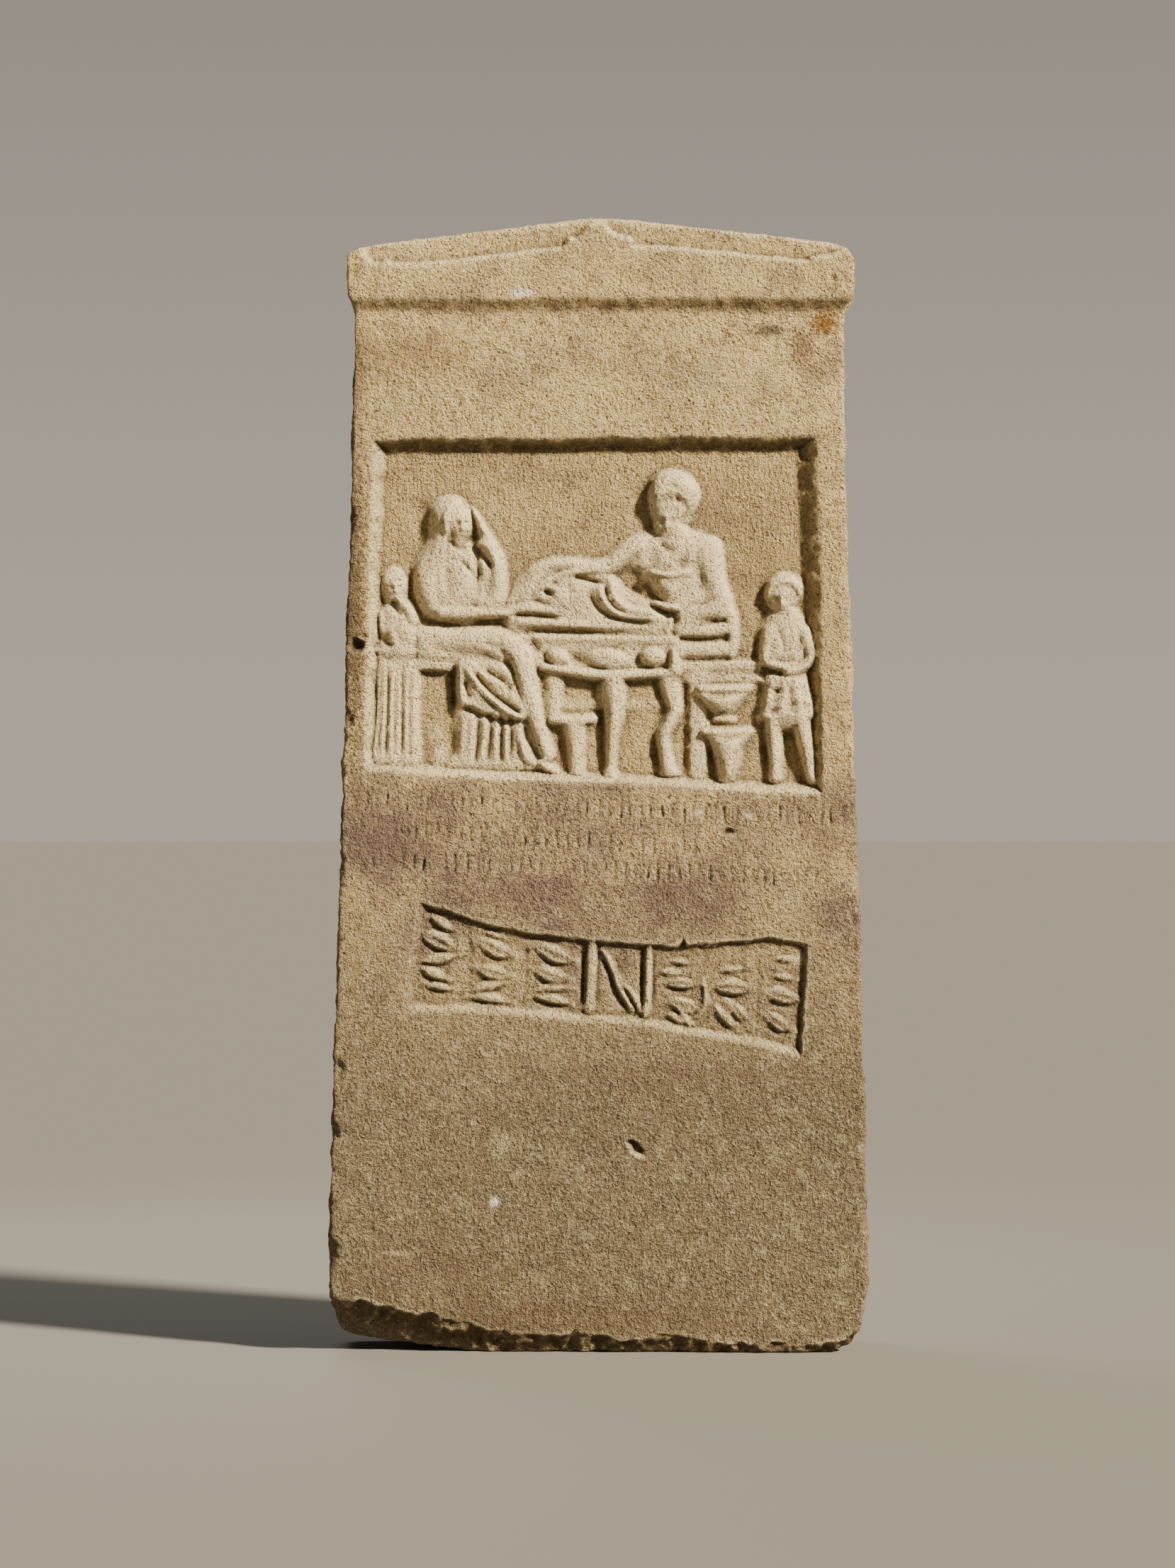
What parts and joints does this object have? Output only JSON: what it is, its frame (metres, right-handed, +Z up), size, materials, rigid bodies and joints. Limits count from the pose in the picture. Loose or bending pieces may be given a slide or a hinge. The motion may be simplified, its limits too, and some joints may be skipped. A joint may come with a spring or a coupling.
{
  "type": "carved stone stele",
  "caption": "Upright tapering stone grave slab with a low gabled top, a sunk relief of a banquet, rows of shallow strokes and a sunk panel of tied leaves; stands on its flat underside.",
  "frame": {"origin": "on the ground, under the middle of the stele's bounding box", "axes": "+Z up the slab, -Y out of the carved face, +X to the right of someone facing the carving"},
  "size_m": [0.476, 0.12, 1],
  "materials": {
    "sandstone": "matte"
  },
  "bodies": {
    "root": {"stele": "sandstone"}
  },
  "joints": []
}
